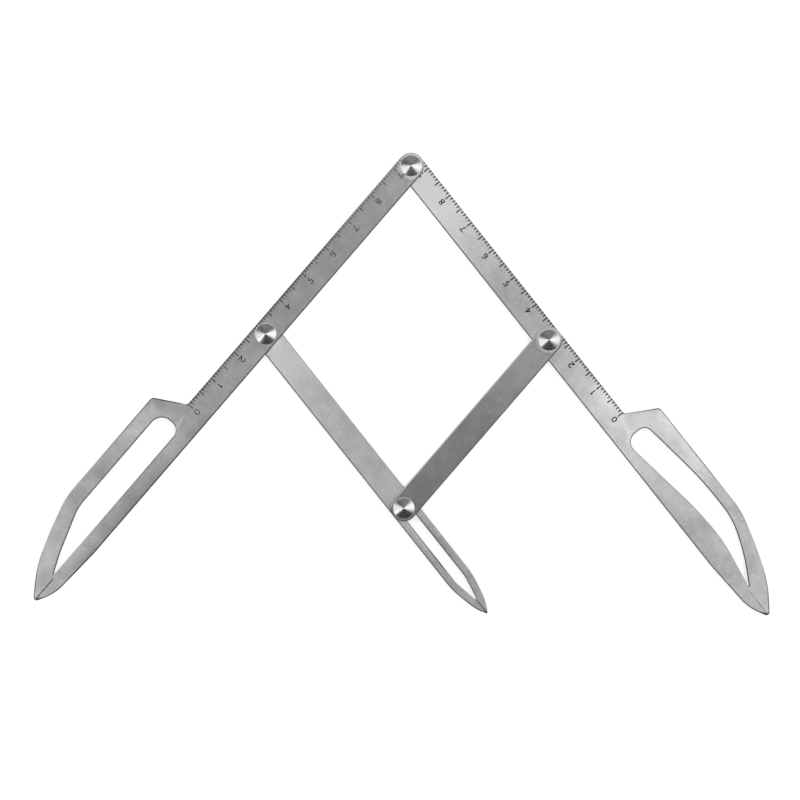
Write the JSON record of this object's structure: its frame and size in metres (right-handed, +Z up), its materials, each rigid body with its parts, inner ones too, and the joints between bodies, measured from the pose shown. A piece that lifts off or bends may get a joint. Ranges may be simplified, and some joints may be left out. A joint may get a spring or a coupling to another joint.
{
  "type": "eyebrow ruler",
  "caption": "Three-point eyebrow caliper: two pointed, graduated arms and a central pointer on a folding parallelogram linkage of flat steel blades.",
  "frame": {"origin": "centre of the apex rivet's flat head, on the apex pivot's axis, in the plane that the rivet heads rest on", "axes": "+Z up through the caps, out of the graduated faces; -Y along the line midway between the arms, towards the tips; +X towards the right arm"},
  "size_m": [0.2122, 0.1323, 0.0049],
  "materials": {
    "blade_steel": "satin, brushed along each blade",
    "black_print": "matte black marking ink",
    "cap_steel": "turned and polished",
    "rivet_steel": "turned",
    "washer_brass": "rolled sheet",
    "spring_steel": "blued"
  },
  "bodies": {
    "left_arm": {"left_arm": "blade_steel", "left_graduations": "black_print", "left_numerals": "black_print", "left_index_line": "black_print", "apex_cap": "cap_steel", "apex_rivet": "rivet_steel", "apex_washer": "washer_brass", "apex_spring": "spring_steel", "left_cap": "cap_steel", "left_rivet": "rivet_steel", "left_washer": "washer_brass", "left_spring": "spring_steel"},
    "right_arm": {"right_arm": "blade_steel", "right_graduations": "black_print", "right_numerals": "black_print", "right_index_line": "black_print"},
    "pointer_link": {"pointer_link": "blade_steel", "pointer_index_line": "black_print"},
    "right_link": {"right_link": "blade_steel", "right_cap": "cap_steel", "right_rivet": "rivet_steel", "right_washer": "washer_brass", "right_spring": "spring_steel", "bottom_cap": "cap_steel", "bottom_rivet": "rivet_steel", "bottom_washer": "washer_brass", "bottom_spring": "spring_steel"}
  },
  "joints": [
    {"name": "apex_hinge", "type": "hinge", "parent": "left_arm", "child": "right_arm", "pos_m": [0, 0, 0], "axis": [0, 0, 1], "range_deg": [-71, 88]},
    {"name": "pointer_hinge", "type": "hinge", "parent": "left_arm", "child": "pointer_link", "pos_m": [-0.04079, -0.04931, 0], "axis": [0, 0, 1], "range_deg": [-71, 88]},
    {"name": "right_link_hinge", "type": "hinge", "parent": "right_arm", "child": "right_link", "pos_m": [0.04079, -0.04931, 0], "axis": [0, 0, 1], "range_deg": [-88, 71]}
  ],
  "couplings": [
    {"joint": "pointer_hinge", "follows": "apex_hinge", "ratio": 1},
    {"joint": "right_link_hinge", "follows": "apex_hinge", "ratio": -1}
  ]
}
